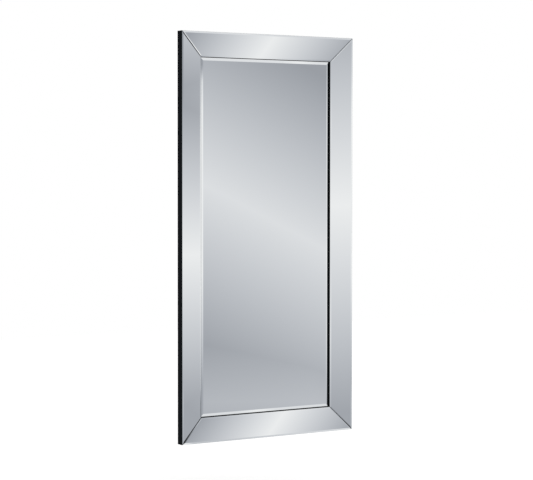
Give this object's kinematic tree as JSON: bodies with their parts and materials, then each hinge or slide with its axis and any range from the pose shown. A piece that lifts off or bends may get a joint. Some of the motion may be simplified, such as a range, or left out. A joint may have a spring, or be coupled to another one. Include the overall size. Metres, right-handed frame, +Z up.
{
  "type": "full-length mirror",
  "caption": "Tall rectangular wall mirror with a recessed, bevelled centre glass inside a sloping frame of mitred, bevelled mirror strips.",
  "frame": {"origin": "on the wall plane, which is the plane of the bumpers' faces, behind the middle of the mirror", "axes": "+X to the right as one faces the mirror, +Y towards the wall, +Z up; the glass faces -Y"},
  "size_m": [0.9, 0.0479, 1.8],
  "materials": {
    "mirror_glass": "silvered float glass, polished and bevelled",
    "black_lacquered_mdf": "satin black lacquer",
    "pressed_beech": "raw pressed beech",
    "foam_tape": "closed-cell foam, matte",
    "pad_rubber": "matte",
    "hardboard": "smooth pressed hardboard",
    "zinc_steel": "bright zinc plate",
    "nickel_steel": "nickel plate",
    "bumper_rubber": "matte moulded rubber"
  },
  "bodies": {
    "mirror": {"centre_glass": "mirror_glass", "left_strip_glass": "mirror_glass", "right_strip_glass": "mirror_glass", "top_strip_glass": "mirror_glass", "bottom_strip_glass": "mirror_glass", "left_rail": "black_lacquered_mdf", "right_rail": "black_lacquered_mdf", "top_rail": "black_lacquered_mdf", "bottom_rail": "black_lacquered_mdf", "mitre_biscuits": "pressed_beech", "left_strip_tape": "foam_tape", "right_strip_tape": "foam_tape", "top_strip_tape": "foam_tape", "bottom_strip_tape": "foam_tape", "centre_tape": "foam_tape", "glass_setting_pads": "pad_rubber", "back_panel": "hardboard", "back_panel_screws": "zinc_steel", "corner_plates": "zinc_steel", "corner_plate_screws": "zinc_steel", "left_hanger_strap": "nickel_steel", "right_hanger_strap": "nickel_steel", "hanger_screws": "zinc_steel", "wall_bumpers": "bumper_rubber"},
    "left_ring": {"left_hanger_ring": "nickel_steel"},
    "right_ring": {"right_hanger_ring": "nickel_steel"}
  },
  "joints": [
    {"name": "left_ring_hinge", "type": "hinge", "parent": "mirror", "child": "left_ring", "pos_m": [-0.4015, -0.0045, 0.6], "axis": [1, 0, 0], "range_deg": [0, 180]},
    {"name": "right_ring_hinge", "type": "hinge", "parent": "mirror", "child": "right_ring", "pos_m": [0.4015, -0.0045, 0.6], "axis": [1, 0, 0], "range_deg": [0, 180]}
  ]
}
